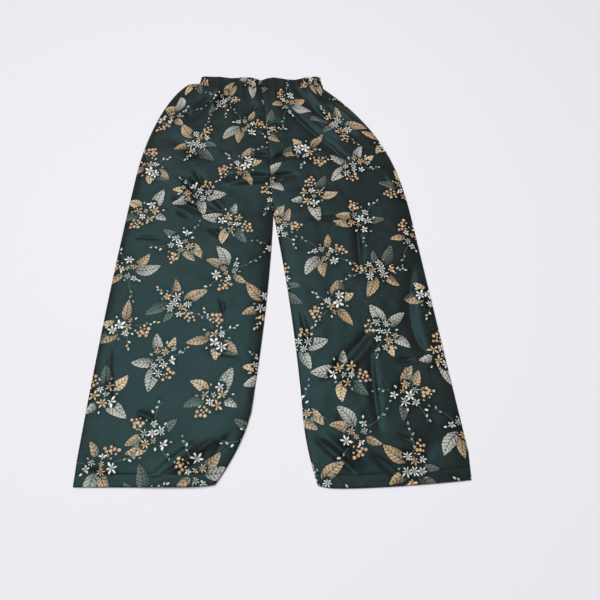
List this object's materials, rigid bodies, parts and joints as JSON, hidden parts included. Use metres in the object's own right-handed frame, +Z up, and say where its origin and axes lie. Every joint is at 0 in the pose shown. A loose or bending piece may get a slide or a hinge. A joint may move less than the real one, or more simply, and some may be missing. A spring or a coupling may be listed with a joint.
{
  "type": "palazzo pants",
  "caption": "Wide-leg palazzo pants in printed satin with an elastic waist, laid flat on their back with one hem corner folded under.",
  "frame": {"origin": "on the surface the garment lies on, under the middle of its box", "axes": "+X across the garment, to the right seen from above with the waist at the far end; +Y from the hems to the waist; +Z up, out of the front"},
  "size_m": [0.714, 0.9797, 0.0167],
  "materials": {
    "printed_satin": "dark teal satin printed with tan, ochre and off-white sprigs of leaves, flowers and berries",
    "casing_satin": "the same printed satin, gathered on elastic",
    "satin_wrong_side": "dull wrong side of the satin, turned under at the hem corner"
  },
  "bodies": {
    "root": {"front_left": "printed_satin", "front_right": "printed_satin", "back_left": "printed_satin", "back_right": "printed_satin", "waistband": "casing_satin", "left_corner_tuck": "satin_wrong_side"}
  },
  "joints": []
}
